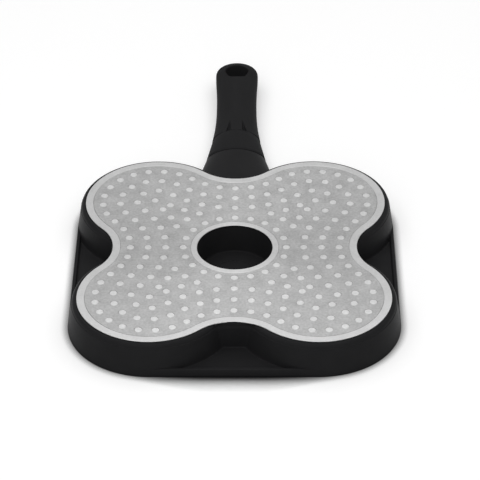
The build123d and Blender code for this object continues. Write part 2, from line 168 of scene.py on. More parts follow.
# Inside the handle: half width, half height and corner of what slides in, and of the room for it
TONGUE, TONGUE_TIP, TONGUE_ROOM = (12.0, 6.5, 3.0), (11.5, 6.0, 2.8), (12.3, 6.8, 3.3)
SPIGOT, SPIGOT_ROOM = (12.0, 5.5, 3.0), (12.3, 5.8, 3.3)
SPIGOT_LENGTH, SPIGOT_ROOM_LENGTH = 3.0, 3.3
TONGUE_EDGE = 0.5
INSERT_RADIUS = 4.6
INSERT_DEPTH = 18.0
SCREW_HOLE_RADIUS = 3.3
COLLAR_ROOM_DEPTH = 23.0


def linear(code):
    """Linear colour of an sRGB hex value."""
    parts = [int(code[i : i + 2], 16) / 255 for i in (1, 3, 5)]
    return [p / 12.92 if p <= 0.04045 else ((p + 0.055) / 1.055) ** 2.4 for p in parts] + [1.0]


def node(tree, kind, inputs=None, **settings):
    """Adds a node with its settings, and sets or links its inputs. A node as value is its first output."""
    new = tree.nodes.new(kind)
    for name, value in settings.items():
        setattr(new, name, value)
    for name, value in (inputs or {}).items():
        if isinstance(value, bpy.types.Node):
            value = value.outputs[0]
        if isinstance(value, bpy.types.NodeSocket):
            tree.links.new(value, new.inputs[name])
        else:
            new.inputs[name].default_value = value
    return new


def finish(name, colour, roughness, metallic=0.0, **sockets):
    """A material with uniform values, and what its pattern needs: its tree, its shader, and places in mm."""
    made = bpy.data.materials.new(name)
    made.use_nodes = True
    tree = made.node_tree
    shader = tree.nodes["Principled BSDF"]
    shader.inputs["Base Color"].default_value = linear(colour)
    shader.inputs["Roughness"].default_value = roughness
    shader.inputs["Metallic"].default_value = metallic
    for socket, value in sockets.items():
        shader.inputs[socket.replace("_", " ")].default_value = value
    place = node(tree, "ShaderNodeTexCoord").outputs["Object"]
    place = node(tree, "ShaderNodeMapping", {"Vector": place, "Scale": (1 / MM,) * 3})
    return made, tree, shader, place


def sprayed_ptfe():
    """Non-stick PTFE sprayed on die-cast aluminium: near-black and satin, with a faint orange peel.

    Its low refractive index keeps reflections weak, so the eye sees soft grey sheens and deep blacks.
    The peel is drawn at 0.9 mm, about what the real one has.
    """
    made, tree, shader, place = finish("sprayed_ptfe", "#232324", 0.42, IOR=1.36, Specular_IOR_Level=0.05)
    cloud = node(tree, "ShaderNodeTexNoise", {"Vector": place, "Scale": 1 / 14, "Detail": 3.0})
    peel = node(tree, "ShaderNodeTexNoise", {"Vector": place, "Scale": 1 / 0.9, "Detail": 3.0})
    shade = {0: cloud, 6: linear("#202021"), 7: linear("#262627")}
    mixed = node(tree, "ShaderNodeMix", shade, data_type="RGBA").outputs[2]
    gloss = {"Value": peel, "From Min": 0.3, "From Max": 0.7, "To Min": 0.36, "To Max": 0.48}
    tree.links.new(mixed, shader.inputs["Base Color"])
    tree.links.new(node(tree, "ShaderNodeMapRange", gloss).outputs[0], shader.inputs["Roughness"])
    relief = node(tree, "ShaderNodeBump", {"Height": peel, "Distance": 0.02 * MM})
    tree.links.new(relief.outputs[0], shader.inputs["Normal"])
    return made


def moulded_phenolic():
    """Compression-moulded black phenolic: satin from the fine sparking of its tool, with faint flow lines."""
    made, tree, shader, place = finish("moulded_phenolic", "#232324", 0.6, IOR=1.5, Specular_IOR_Level=0.03)
    stretched = node(tree, "ShaderNodeMapping", {"Vector": place, "Scale": (1.0, 0.25, 1.0)})
    flow = node(tree, "ShaderNodeTexNoise", {"Vector": stretched, "Scale": 1 / 9, "Detail": 2.0})
    grain = node(tree, "ShaderNodeTexNoise", {"Vector": place, "Scale": 1 / 0.5, "Detail": 2.0})
    shade = {0: flow, 6: linear("#202021"), 7: linear("#262627")}
    mixed = node(tree, "ShaderNodeMix", shade, data_type="RGBA").outputs[2]
    gloss = {"Value": grain, "From Min": 0.3, "From Max": 0.7, "To Min": 0.54, "To Max": 0.66}
    tree.links.new(mixed, shader.inputs["Base Color"])
    tree.links.new(node(tree, "ShaderNodeMapRange", gloss).outputs[0], shader.inputs["Roughness"])
    relief = node(tree, "ShaderNodeBump", {"Height": grain, "Distance": 0.015 * MM})
    tree.links.new(relief.outputs[0], shader.inputs["Normal"])
    return made


def faced_metal(name, dark, light, smooth, rough, ring_width):
    """Metal faced in a lathe about the pan's middle: rings of tool marks stretch its sheen across them.

    The rings are drawn coarser than the real feed of about 0.2 mm, and the grain, 2 mm, coarser than the
    real one of a few tenths, because both are too fine to show. Clouds of 11 mm lie over them.
    """
    sheen = {"Anisotropic": 0.4, "Anisotropic_Rotation": 0.25}
    made, tree, shader, place = finish(name, light, (smooth + rough) / 2, 1.0, **sheen)
    marks = node(tree, "ShaderNodeTangent", direction_type="RADIAL", axis="Z")
    tree.links.new(marks.outputs[0], shader.inputs["Tangent"])
    flat = node(tree, "ShaderNodeVectorMath", {0: place, 1: (1.0, 1.0, 0.0)}, operation="MULTIPLY")
    out = node(tree, "ShaderNodeVectorMath", {0: flat}, operation="LENGTH").outputs["Value"]
    line = node(tree, "ShaderNodeCombineXYZ", {"X": out})
    rings = node(tree, "ShaderNodeTexNoise", {"Vector": line, "Scale": 1 / ring_width, "Detail": 3.0})
    blotch = node(tree, "ShaderNodeTexNoise", {"Vector": place, "Scale": 1 / 11, "Detail": 4.0})
    grit = node(tree, "ShaderNodeTexNoise", {"Vector": place, "Scale": 1 / 2, "Detail": 3.0})
    both = node(tree, "ShaderNodeMix", {0: 0.62, 2: blotch, 3: grit})
    even = {"Value": both, "From Min": 0.35, "From Max": 0.65}
    worn = node(tree, "ShaderNodeMapRange", even)
    shade = {0: worn, 6: linear(dark), 7: linear(light)}
    mixed = node(tree, "ShaderNodeMix", shade, data_type="RGBA").outputs[2]
    gloss = {"Value": worn, "To Min": smooth, "To Max": rough}
    tree.links.new(mixed, shader.inputs["Base Color"])
    tree.links.new(node(tree, "ShaderNodeMapRange", gloss).outputs[0], shader.inputs["Roughness"])
    relief = node(tree, "ShaderNodeBump", {"Height": rings, "Distance": 0.02 * MM})
    tree.links.new(relief.outputs[0], shader.inputs["Normal"])
    return made


def cut_silicone():
    """Heat-resistant black silicone, cut from sheet: dull, with a trace of dust."""
    made, tree, shader, place = finish("cut_silicone", "#111112", 0.7, IOR=1.41, Specular_IOR_Level=0.3)
    dust = node(tree, "ShaderNodeTexNoise", {"Vector": place, "Scale": 1 / 1.2, "Detail": 3.0})
    shade = {0: dust, 6: linear("#0d0d0e"), 7: linear("#161617")}
    mixed = node(tree, "ShaderNodeMix", shade, data_type="RGBA").outputs[2]
    tree.links.new(mixed, shader.inputs["Base Color"])
    return made


def zinc_plate():
    """Bright zinc plate on rolled steel: cool grey, clouded by its bath."""
    made, tree, shader, place = finish("zinc_plate", "#b4b6b4", 0.32, 1.0)
    bloom = node(tree, "ShaderNodeTexNoise", {"Vector": place, "Scale": 1 / 2.5, "Detail": 3.0})
    shade = {0: bloom, 6: linear("#a8aaa6"), 7: linear("#bfc2c4")}
    mixed = node(tree, "ShaderNodeMix", shade, data_type="RGBA").outputs[2]
    gloss = {"Value": bloom, "To Min": 0.22, "To Max": 0.42}
    tree.links.new(mixed, shader.inputs["Base Color"])
    tree.links.new(node(tree, "ShaderNodeMapRange", gloss).outputs[0], shader.inputs["Roughness"])
    return made


def turned_brass():
    """Free-cutting brass, turned: yellow, with fine rings from the tool drawn at 0.4 mm."""
    made, tree, shader, place = finish("turned_brass", "#c7a35a", 0.3, 1.0)
    stretched = node(tree, "ShaderNodeMapping", {"Vector": place, "Scale": (0.1, 1.0, 0.1)})
    rings = node(tree, "ShaderNodeTexNoise", {"Vector": stretched, "Scale": 1 / 0.4, "Detail": 2.0})
    shade = {0: rings, 6: linear("#b8924a"), 7: linear("#d2b06a")}
    mixed = node(tree, "ShaderNodeMix", shade, data_type="RGBA").outputs[2]
    tree.links.new(mixed, shader.inputs["Base Color"])
    relief = node(tree, "ShaderNodeBump", {"Height": rings, "Distance": 0.01 * MM})
    tree.links.new(relief.outputs[0], shader.inputs["Normal"])
    return made


def grid_faces(rows, columns, along, start):
    """Quads of a grid of points, closed round its columns, and closed along its rows if asked."""
    row, column = np.meshgrid(np.arange(rows if along else rows - 1), np.arange(columns), indexing="ij")
    next_row, next_column = (row + 1) % rows, (column + 1) % columns
    corners = ((row, column), (row, next_column), (next_row, next_column), (next_row, column))
    return np.stack([i * columns + j for i, j in corners], -1).reshape(-1, 4) + start


def piece(name, grids, material, replaced=(), sharp=35.0):
    """One smooth piece made of grids, each (points by row and column, closed along its rows or not).

    Its seams and poles are merged and its faces turned outwards.
    """
    counts = np.cumsum([0] + [grid.shape[0] * grid.shape[1] for grid, along in grids])
    quads = [grid_faces(*grid.shape[:2], along, start) for (grid, along), start in zip(grids, counts)]
    points = np.concatenate([grid.reshape(-1, 3) for grid, along in grids])
    mesh = bpy.data.meshes.new(name)
    mesh.from_pydata(points * MM, [], np.concatenate(quads))
    made = bpy.data.objects.new(name, mesh)
    bpy.context.scene.collection.objects.link(made)
    work = bmesh.new()
    work.from_mesh(mesh)
    bmesh.ops.remove_doubles(work, verts=work.verts, dist=SEAM)
    bmesh.ops.recalc_face_normals(work, faces=work.faces)
    work.to_mesh(mesh)
    work.free()
    mesh.shade_smooth()
    mesh.set_sharp_from_angle(angle=radians(sharp))
    mesh.materials.append(material)
    if replaced:
        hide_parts(*replaced)
    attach(made, "root")
    return made


# Pan

AROUND = 720
EDGE_STEPS = 60


def directions(count, bunch):
    """Angles round a middle, closer together near the four sides."""
    even = 2 * pi * np.arange(count) / count
    return even - bunch * np.sin(4 * even) / 4


def heading(turn):
    """Unit vectors of angles."""
    return np.stack([np.cos(turn), np.sin(turn)], -1)


def reach_of_clover(turn, lobe, notch, reach):
    """Distance to the clover's edge in each direction.

    Within an eighth of a turn of a side: first the flat notch wall, at reach over the cosine, then the
    near crossing of the ray and the notch's round corner, then the far crossing of the ray and the lobe.
    """
    away = np.abs((turn + pi / 4) % (pi / 2) - pi / 4)
    along, aside = np.cos(away), np.sin(away)
    middle = reach + notch
    flat = HALF_PITCH - np.sqrt((lobe + notch) ** 2 - (middle - HALF_PITCH) ** 2)
    to_corner = along * middle + aside * flat
    corner = to_corner - np.sqrt(np.maximum(to_corner**2 - middle**2 - flat**2 + notch**2, 0))
    to_lobe = (along + aside) * HALF_PITCH
    on_lobe = to_lobe + np.sqrt(np.maximum(to_lobe**2 - 2 * HALF_PITCH**2 + lobe**2, 0))
    share = notch / (lobe + notch)
    join = np.arctan2(flat + (HALF_PITCH - flat) * share, middle + (HALF_PITCH - middle) * share)
    return np.where(away < np.arctan2(flat, reach), reach / along, np.where(away < join, corner, on_lobe))


def reach_of_face(turn, grown=0.0):
    """Distance to the machined face's edge, or to a line grown outwards from it."""
    return reach_of_clover(turn, FACE_RADIUS + grown, NOTCH_FACE_RADIUS - grown, FACE_REACH + grown)


def reach_of_wall(turn, height):
    """Distance to the drafted wall of lobes and notches at a height."""
    reach = FACE_REACH + NOTCH_SHOULDER + (SHOULDER_HEIGHT - height) * NOTCH_SLOPE
    return reach_of_clover(turn, RIM_CORNER - height * SLOPE, NOTCH_CORNER, reach)


def reach_of_shoulder(turn, rise):
    """Distance to the rounded shoulder: it bulges by the cosine of its rise, and its notches sharpen."""
    lobe = FACE_RADIUS + (SHOULDER - BEAD) * cos(rise)
    notch = NOTCH_FACE_RADIUS + (NOTCH_CORNER - NOTCH_FACE_RADIUS) * cos(rise)
    return reach_of_clover(turn, lobe, notch, FACE_REACH + NOTCH_BULGE * cos(rise))


def reach_of_lip(turn, height):
    """Distance to the lip's inner side, which leans out as it rises. Past the lobes' tops it is nought."""
    away = np.abs((turn + pi / 4) % (pi / 2) - pi / 4)
    side = RIM_HALF_WIDTH - LIP_WIDTH - (2 * LIP_HEIGHT - height) * SLOPE
    return np.where(np.tan(away) * side < HALF_PITCH, side / np.cos(away), 0.0)


def reach_of_rim(turn, height):
    """Distance to the rim's drafted outside: a side over the cosine, then the corner's far crossing."""
    away = np.abs((turn + pi / 4) % (pi / 2) - pi / 4)
    side = RIM_HALF_WIDTH - height * SLOPE
    to_corner = (np.cos(away) + np.sin(away)) * HALF_PITCH
    inside = to_corner**2 - 2 * HALF_PITCH**2 + (RIM_CORNER - height * SLOPE) ** 2
    on_corner = to_corner + np.sqrt(np.maximum(inside, 0))
    return np.where(np.tan(away) * side < HALF_PITCH, side / np.cos(away), on_corner)


def rounded(corners, sizes, steps=4):
    """Carries a profile past its corners on parabolas.

    Each begins and ends a size away from its corner, or 0.45 of the shorter side where that is less.
    """
    rows = [corners[0]]
    for before, corner, after, size in zip(corners, corners[1:], corners[2:], sizes):
        if size == 0:
            rows.append(corner)
            continue
        back, on = before - corner, after - corner
        back_length = np.maximum(np.linalg.norm(back, axis=-1, keepdims=True), 1e-9)
        on_length = np.maximum(np.linalg.norm(on, axis=-1, keepdims=True), 1e-9)
        used = np.minimum(size, 0.45 * np.minimum(back_length, on_length))
        start, end = corner + back / back_length * used, corner + on / on_length * used
        for t in np.linspace(0, 1, steps + 1):
            rows.append((1 - t) ** 2 * start + 2 * t * (1 - t) * corner + t**2 * end)
    return rows + [corners[-1]]


def profile_point(turn, reach, height):
    """One corner of a profile for every direction: (direction, reach and height)."""
    return np.stack(np.broadcast_arrays(reach + 0 * turn, height + 0 * turn), -1)


def pocket_floor(turn):
    """Height at which wall and lip meet: the web, higher in a pocket's tips, and the lip's top past them."""
    low, high = np.full_like(turn, WEB_HEIGHT), np.full_like(turn, LIP_HEIGHT)
    for halving in range(30):
        middle = (low + high) / 2
        crossed = reach_of_wall(turn, middle) > reach_of_lip(turn, middle)
        low, high = np.where(crossed, middle, low), np.where(crossed, high, middle)
    open_pocket = reach_of_wall(turn, WEB_HEIGHT) < reach_of_lip(turn, WEB_HEIGHT)
    no_pocket = reach_of_wall(turn, LIP_HEIGHT) > reach_of_lip(turn, LIP_HEIGHT)
    return np.where(open_pocket, WEB_HEIGHT, np.where(no_pocket, LIP_HEIGHT, high))


def base_side(turn):
    """Base side of the casting, from the middle of its recess out and down to the rim plane.

    Polar grid: the profile turns with the direction, and its reaches follow the clover and the square.
    """
    recess_top = RECESS_FOOT + (PLATE_FLOOR - WEB_HEIGHT) * RECESS_SLOPE
    seat_edge = reach_of_face(turn, -PLATE_FLOOR_INSET)
    corners = [
        profile_point(turn, 0.0, WEB_HEIGHT),
        profile_point(turn, RECESS_FLOOR_RING, WEB_HEIGHT),
        profile_point(turn, RECESS_FOOT, WEB_HEIGHT),
        profile_point(turn, recess_top, PLATE_FLOOR),
        profile_point(turn, seat_edge, PLATE_FLOOR),
        profile_point(turn, seat_edge, BAND_GROOVE),
        profile_point(turn, reach_of_face(turn), BAND_GROOVE),
    ]
    sizes = [0, RECESS_FOOT_ROUND, 0, 0, 0, 0]
    for rise in np.radians(np.linspace(78, 0, 12)):
        height = SHOULDER_HEIGHT + BEAD + (SHOULDER - BEAD) * sin(rise)
        corners.append(profile_point(turn, reach_of_shoulder(turn, rise), height))
        sizes.append(0)
    sizes[-1] = SHOULDER_FOOT_ROUND
    floor = pocket_floor(turn)
    for share in np.linspace(0, 1, 9):
        height = SHOULDER_HEIGHT + (floor - SHOULDER_HEIGHT) * share
        corners.append(profile_point(turn, reach_of_wall(turn, height), height))
        sizes.append(0)
    foot = reach_of_wall(turn, floor)
    lip_foot = np.maximum(reach_of_lip(turn, floor), foot)
    lip_edge = np.maximum(reach_of_lip(turn, LIP_HEIGHT), reach_of_wall(turn, LIP_HEIGHT))
    outside = np.maximum(reach_of_rim(turn, LIP_HEIGHT), lip_edge)
    corners += [
        profile_point(turn, lip_foot, floor),
        profile_point(turn, lip_edge, LIP_HEIGHT),
        profile_point(turn, outside, LIP_HEIGHT),
        profile_point(turn, reach_of_rim(turn, 0.0), 0.0),
        profile_point(turn, reach_of_rim(turn, 0.0) - RIM_ROUND * 2, 0.0),
    ]
    sizes[-1] = WALL_FOOT_ROUND
    sizes += [LIP_FOOT_ROUND, LIP_INNER_ROUND, LIP_OUTER_ROUND, RIM_ROUND]
    rows = np.stack(rounded(corners, sizes)[:-1])
    return np.concatenate([rows[..., :1] * heading(turn), rows[..., 1:]], -1)


def cook_side(quarter_edge):
    """One quarter of the cook side: a cup in the rim plane.

    Polar grid about the cup's middle: from the quarter's edge to the mouth, down the wall, to the floor.
    """
    middle = np.array([HALF_PITCH, HALF_PITCH])
    line = HALF_PITCH * (1 + np.tan(np.linspace(-pi / 4, pi / 4, EDGE_STEPS + 1)))
    back = np.stack([0 * line, line[::-1]], -1)[1:]
    front = np.stack([line, 0 * line], -1)[1:-1]
    edge = np.concatenate([quarter_edge, back, front]) - middle
    reach = np.linalg.norm(edge, axis=-1)
    wall_foot = CUP_MOUTH_RADIUS - CUP_DEPTH * CUP_SLOPE
    corners = [
        np.stack([reach, 0 * reach], -1),
        profile_point(reach * 0, CUP_MOUTH_RADIUS, 0.0),
        profile_point(reach * 0, wall_foot, CUP_DEPTH),
        profile_point(reach * 0, wall_foot / 2, CUP_DEPTH),
        profile_point(reach * 0, 0.0, CUP_DEPTH),
    ]
    rows = np.stack(rounded(corners, [CUP_MOUTH_ROUND, CUP_FLOOR_ROUND, 0], 6))
    flat = rows[..., :1] * (edge / reach[:, None]) + middle
    return np.concatenate([flat, rows[..., 1:]], -1)


def turned(points, quarters):
    """Points turned about the pan's middle by quarter turns."""
    c, s = round(cos(quarters * pi / 2)), round(sin(quarters * pi / 2))
    x, y, z = points[..., 0], points[..., 1], points[..., 2]
    return np.stack([c * x - s * y, s * x + c * y, z], -1)


# Handle sections

RING_STEPS = 160
RING = 2 * pi * np.arange(RING_STEPS) / RING_STEPS


def dome(half_width, inset=0.0):
    """Across and up for a section of lug and collar: a superellipse, domed above, flatter underneath."""
    c, s = np.cos(RING), np.sin(RING)
    rise = np.where(s > 0, HANDLE_TOP - WIDEST_HEIGHT, WIDEST_HEIGHT - HANDLE_BOTTOM) - inset
    power = np.where(s > 0, 2 / DOME_POWER, 2 / UNDER_POWER)
    return np.stack([
        (half_width - inset) * np.sign(c) * np.abs(c) ** power,
        WIDEST_HEIGHT + rise * np.sign(s) * np.abs(s) ** power,
    ], -1)


# Angles at which the screw's axis sees the points of a middling section
AIM = np.arctan2(dome(AIM_HALF_WIDTH)[:, 1] - AXIS_HEIGHT, dome(AIM_HALF_WIDTH)[:, 0])


def soft_box(half_width, half_height, corner):
    """Across and up for a rectangle with round corners about the screw's axis, in the dome's directions."""
    along, up = np.abs(np.cos(AIM)), np.abs(np.sin(AIM))
    on_side, on_top = half_width / np.maximum(along, 1e-9), half_height / np.maximum(up, 1e-9)
    x, z = half_width - corner, half_height - corner
    to_corner = along * x + up * z
    on_corner = to_corner + np.sqrt(np.maximum(to_corner**2 - x**2 - z**2 + corner**2, 0))
    return circle(np.where(on_side * up <= z, on_side, np.where(on_top * along <= x, on_top, on_corner)))


def circle(reach):
    """Across and up for a circle about the screw's axis."""
    return np.stack([reach * np.cos(AIM), AXIS_HEIGHT + reach * np.sin(AIM)], -1)


def ring(distance, section):
    """A section's points at a distance, or distances, from the pan's middle."""
    return np.stack([section[:, 0], distance + 0 * RING, section[:, 1]], -1)


def lug_section(distance, inset=0.0):
    """The cast lug's section at a distance: it widens towards the pan."""
    return dome(LUG_HALF_WIDTH + (LUG_END - distance) * LUG_FLARE, inset)


def wall_distance(x, z):
    """Distance along the handle of the far notch's wall at a place across: flat, round corner or lobe."""
    lobe = RIM_CORNER - z * SLOPE
    reach = FACE_REACH + NOTCH_SHOULDER + (SHOULDER_HEIGHT - z) * NOTCH_SLOPE
    middle = reach + NOTCH_CORNER
    flat = HALF_PITCH - np.sqrt((lobe + NOTCH_CORNER) ** 2 - (middle - HALF_PITCH) ** 2)
    join = flat + (HALF_PITCH - flat) * NOTCH_CORNER / (lobe + NOTCH_CORNER)
    aside = np.abs(x)
    corner = middle - np.sqrt(np.maximum(NOTCH_CORNER**2 - (aside - flat) ** 2, 0))
    on_lobe = HALF_PITCH + np.sqrt(np.maximum(lobe**2 - (HALF_PITCH - aside) ** 2, 0))
    return np.where(aside < flat, reach, np.where(aside < join, corner, on_lobe))


def lug():
    """Lug and tongue in one: rings from inside the notch's wall to the tongue's end, and in for the insert.

    The first ring follows the wall, a little inside it, found by going back and forth between the
    lug's section and the wall. A cap of smaller rings that follow the wall too closes it.
    """
    root = np.full_like(RING, 115.0)  # a first guess
    for step in range(25):
        section = lug_section(root)
        root = wall_distance(section[:, 0], section[:, 1]) - LUG_SINK
    rows = []
    for share in np.linspace(0, 1, 9):
        x, z = share * section[:, 0], AXIS_HEIGHT + share * (section[:, 1] - AXIS_HEIGHT)
        rows.append(np.stack([x, wall_distance(x, z) - LUG_SINK, z], -1))
    for share in np.linspace(0, 1, 13)[1:]:
        distance = root + (LUG_END - LUG_EDGE - root) * share
        rows.append(ring(distance, lug_section(distance)))
    rows += [
        ring(LUG_END, lug_section(LUG_END, LUG_EDGE)),
        ring(LUG_END, soft_box(*TONGUE)),
        ring(TONGUE_END - TONGUE_EDGE, soft_box(*TONGUE)),
        ring(TONGUE_END, soft_box(*TONGUE_TIP)),
        ring(TONGUE_END, circle(INSERT_RADIUS)),
        ring(TONGUE_END - INSERT_DEPTH, circle(INSERT_RADIUS)),
        ring(TONGUE_END - INSERT_DEPTH, circle(0.0)),
    ]
    return np.stack(rows)


def gasket():
    """Gasket: a domed ring with the tongue's room in it."""
    outside, inside = dome(LUG_HALF_WIDTH, GASKET_INSET), soft_box(*TONGUE_ROOM)
    ends = (LUG_END, COLLAR_FRONT)
    shapes = (outside, outside, inside, inside)
    return np.stack([ring(y, shape) for shape, y in zip(shapes, ends + ends[::-1])])


def collar():
    """Heat collar: a domed tube that narrows to the grip, hollow for tongue, spigot and screw.

    Its rear edge is a parabola over the corners of a chamfer, which is smaller on top in the middle.
    """
    taper = (LUG_HALF_WIDTH - COLLAR_REAR_HALF_WIDTH) / (GRIP_FRONT - COLLAR_FRONT)

    def outside(y, inset):
        wide = LUG_HALF_WIDTH - (y - COLLAR_FRONT) * taper
        shape = dome(1.0)
        across = shape[:, 0] * (wide - inset)
        up = WIDEST_HEIGHT + (shape[:, 1] - WIDEST_HEIGHT) * (1 - inset / (HANDLE_TOP - WIDEST_HEIGHT))
        return ring(y, np.stack([across, up], -1))

    aside = np.abs(dome(COLLAR_REAR_HALF_WIDTH)[:, 0])
    middle = np.clip((aside - TOP_CHAMFER_HALF_WIDTH) / TOP_CHAMFER_FADE, 0, 1)
    on_top = COLLAR_TOP_CHAMFER + (COLLAR_CHAMFER - COLLAR_TOP_CHAMFER) * middle**2 * (3 - 2 * middle)
    chamfer = np.where(np.sin(RING) > 0, on_top, COLLAR_CHAMFER)
    rows = [outside(COLLAR_FRONT, LUG_EDGE), outside(COLLAR_FRONT + LUG_EDGE, 0.0)]
    rows += [outside(y, 0.0) for y in np.linspace(COLLAR_FRONT + 4, GRIP_FRONT - 7, 5)]
    spigot_room = soft_box(*SPIGOT_ROOM)
    edge = [outside(GRIP_FRONT - 5, 0.0), outside(GRIP_FRONT - chamfer, 0.0), outside(GRIP_FRONT, chamfer)]
    edge.append(ring(GRIP_FRONT, spigot_room))
    rows += rounded(edge, COLLAR_EDGE_ROUNDS)
    rows += [
        ring(GRIP_FRONT - SPIGOT_ROOM_LENGTH, spigot_room),
        ring(GRIP_FRONT - SPIGOT_ROOM_LENGTH, circle(SCREW_HOLE_RADIUS)),
        ring(COLLAR_FRONT + COLLAR_ROOM_DEPTH, circle(SCREW_HOLE_RADIUS)),
        ring(COLLAR_FRONT + COLLAR_ROOM_DEPTH, soft_box(*TONGUE_ROOM)),
        ring(COLLAR_FRONT, soft_box(*TONGUE_ROOM)),
    ]
    return np.stack(rows)


# Grip

GRIP_STEPS = 520
GRIP_ROWS = 84
FRONT_BUNCH = 0.82  # how much closer together the rays lie towards the front
HOLE_MIDDLE = TAIL_CENTRE
HOLE_EDGE = 0.7
HOLE_ARC_RADIUS = 11.3
HOLE_ARC_SHIFT = 0.6  # its middle lies this much nearer the pan
HOLE_SIDES = (((0.0, -1.0), 9.5), ((0.925, -0.38), 10.65), ((-0.925, -0.38), 10.65))  # facing, and how far
HOLE_SOFTNESS = 22.0
WAIST = np.array([[0.0, 22.4], [0.12, 20.8], [0.3, 19.3], [0.55, 18.75], [0.8, 19.3], [1.0, TAIL_RADIUS]])
POWERS = np.arange(7)
WAIST_CURVE = np.linalg.solve(
    np.vstack([WAIST[:, :1] ** POWERS, POWERS * 1.0]), np.append(WAIST[:, 1], 0.0)
)  # a sixth-power curve through the waist's half widths, with no slope where the round tail begins


def grip_edge(x, y):
    """How far out a place on the grip is: 0 on its middle line, 1 at its edge, past 1 outside."""
    share = np.clip((y - GRIP_FRONT) / (TAIL_CENTRE - GRIP_FRONT), 0, 1)
    half_width = (share[..., None] ** POWERS) @ WAIST_CURVE
    round_tail = np.hypot(x, y - TAIL_CENTRE) / TAIL_RADIUS
    return np.where(y < TAIL_CENTRE, np.abs(x) / half_width, round_tail)


def grip_faces(x, y):
    """Heights of the grip's top and underside at a place, over its whole length.

    The section is a superellipse, domed above its widest line. Towards the tail that line rises to the
    middle, and the section fills out. Two oval grooves fade towards the tail, and the ridge between
    them rises to the collar's top. A quarter circle rounds the front edge.
    """
    share = np.clip((y - GRIP_FRONT) / (TAIL_CENTRE - GRIP_FRONT), 0, 1)
    bottom = GRIP_FRONT_BOTTOM + (GRIP_TAIL_BOTTOM - GRIP_FRONT_BOTTOM) * share
    widest = GRIP_WIDEST_HEIGHT + GRIP_WIDEST_RISE * share**1.5
    over = GRIP_TOP_POWER + GRIP_TOP_POWER_RISE * share**2
    under = GRIP_UNDER_POWER + GRIP_UNDER_POWER_RISE * share
    out = np.clip(grip_edge(x, y), 0, 1)
    top = widest + (GRIP_TOP - widest) * (1 - out**over) ** (1 / over)
    low = widest - (widest - bottom) * (1 - out**under) ** (1 / under)
    run = np.clip((y - GRIP_FRONT) / GROOVE_LENGTH, 0, 1)
    groove_radius = GROOVE_RADIUS * (1 - run) + GROOVE_END_RADIUS * run
    aside = np.abs(x) - (GROOVE_ASIDE - GROOVE_DRAWN_IN * run)
    groove = GROOVE_DEPTH * np.sqrt(np.maximum(groove_radius**2 - aside**2, 0)) * (run < 1)
    ridge = RIDGE_RISE * np.clip(-aside / RIDGE_SLOPE_WIDTH, 0, 1) ** 2 * (1 - run) ** 2
    lead = np.clip(1 - (y - GRIP_FRONT) / GRIP_FRONT_ROUND, 0, 1)
    return top - groove + ridge - GRIP_FRONT_ROUND * (1 - np.sqrt(1 - lead**2)), low


def hole_reach(turn):
    """Distance from the hanging hole's middle to its edge: the nearest of three straight sides and an arc.

    The nearest is taken with a soft minimum, which rounds the corners.
    """
    along = heading(turn)
    arc = -HOLE_ARC_SHIFT * along[:, 1]
    sides = [arc + np.sqrt(arc**2 - HOLE_ARC_SHIFT**2 + HOLE_ARC_RADIUS**2)]
    for normal, gap in HOLE_SIDES:
        sides.append(gap / np.maximum(along @ np.array(normal), 1e-3))
    return sum(side**-HOLE_SOFTNESS for side in sides) ** (-1 / HOLE_SOFTNESS)


def grip():
    """Grip: a ring-shaped polar grid about its hanging hole.

    Each ray runs over the top from the hole to the outline, down the front face or round the thin edge,
    back under, and up the hole's wall, with a quarter circle at both edges of the hole.
    """
    even = 2 * pi * np.arange(GRIP_STEPS) / GRIP_STEPS
    turn = even - FRONT_BUNCH * np.sin(even) - pi / 2
    along = heading(turn)
    near, far = np.full_like(turn, 12.0), np.full_like(turn, 130.0)  # surely inside, surely outside
    for halving in range(45):
        reach = (near + far) / 2
        x, y = reach * along[:, 0], HOLE_MIDDLE + reach * along[:, 1]
        inside = (grip_edge(x, y) < 1) & (y > GRIP_FRONT)
        near, far = np.where(inside, reach, near), np.where(inside, far, reach)
    outer, inner = near, hole_reach(turn)

    def place(reach, height):
        flat = reach[:, None] * along + np.array([0.0, HOLE_MIDDLE])
        return np.concatenate([flat, height[:, None]], -1)

    def heights(reach):
        return grip_faces(reach * along[:, 0], HOLE_MIDDLE + reach * along[:, 1])

    shares = np.sin(np.linspace(0, pi / 2, GRIP_ROWS))
    top, bottom = [], []
    for share in shares:
        reach = inner + HOLE_EDGE + (outer - inner - HOLE_EDGE) * share
        over, under = heights(reach)
        top.append(place(reach, over))
        bottom.append(place(reach, under))
    over, under = heights(outer)
    front = [place(outer, over + (under - over) * share) for share in (0.25, 0.5, 0.75)]
    over, under = heights(inner + HOLE_EDGE)
    wall = []
    for bend in np.radians(np.linspace(15, 90, 6)):
        reach = inner + HOLE_EDGE * (1 - sin(bend))
        wall.append(place(reach, under + HOLE_EDGE * (1 - cos(bend))))
    for share in (0.33, 0.67):
        wall.append(place(inner, under + HOLE_EDGE + (over - under - 2 * HOLE_EDGE) * share))
    for bend in np.radians(np.linspace(90, 15, 6)):
        reach = inner + HOLE_EDGE * (1 - sin(bend))
        wall.append(place(reach, over - HOLE_EDGE * (1 - cos(bend))))
    return np.stack(top + front + bottom[::-1] + wall)


def spigot():
    """The grip's spigot, a closed box with round corners that reaches into the grip."""
    shape, point = soft_box(*SPIGOT), circle(0.0)
    front, rear = GRIP_FRONT - SPIGOT_LENGTH, GRIP_FRONT + 1
    return np.stack([ring(front, point), ring(front, shape), ring(rear, shape), ring(rear, point)])


# Base face

